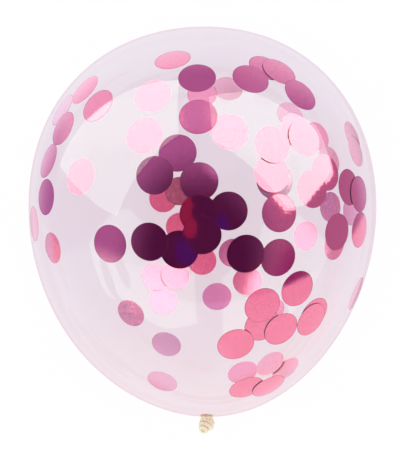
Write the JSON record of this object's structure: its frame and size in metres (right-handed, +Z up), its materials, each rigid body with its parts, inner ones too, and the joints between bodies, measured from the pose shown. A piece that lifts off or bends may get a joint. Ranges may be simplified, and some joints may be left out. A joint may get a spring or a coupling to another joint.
{
  "type": "confetti balloon",
  "caption": "Clear round latex balloon, knotted at its neck and filled with loose pink foil confetti discs, lying on its side as party decoration.",
  "frame": {"origin": "centre of the small flat spot on the balloon's side that it rests on, under its widest ring", "axes": "+Y along the balloon's axis from the knot to the crown, +Z up from the floor, +X across"},
  "size_m": [0.3, 0.3519, 0.2984],
  "materials": {
    "balloon_latex": "thin clear stretched latex, smooth and glossy, cream where it is unstretched at the neck, knot and lip",
    "confetti_foil": "pink metallised film, mirror bright, on the discs sealed in the balloon"
  },
  "bodies": {
    "root": {"balloon": "balloon_latex"}
  },
  "joints": []
}
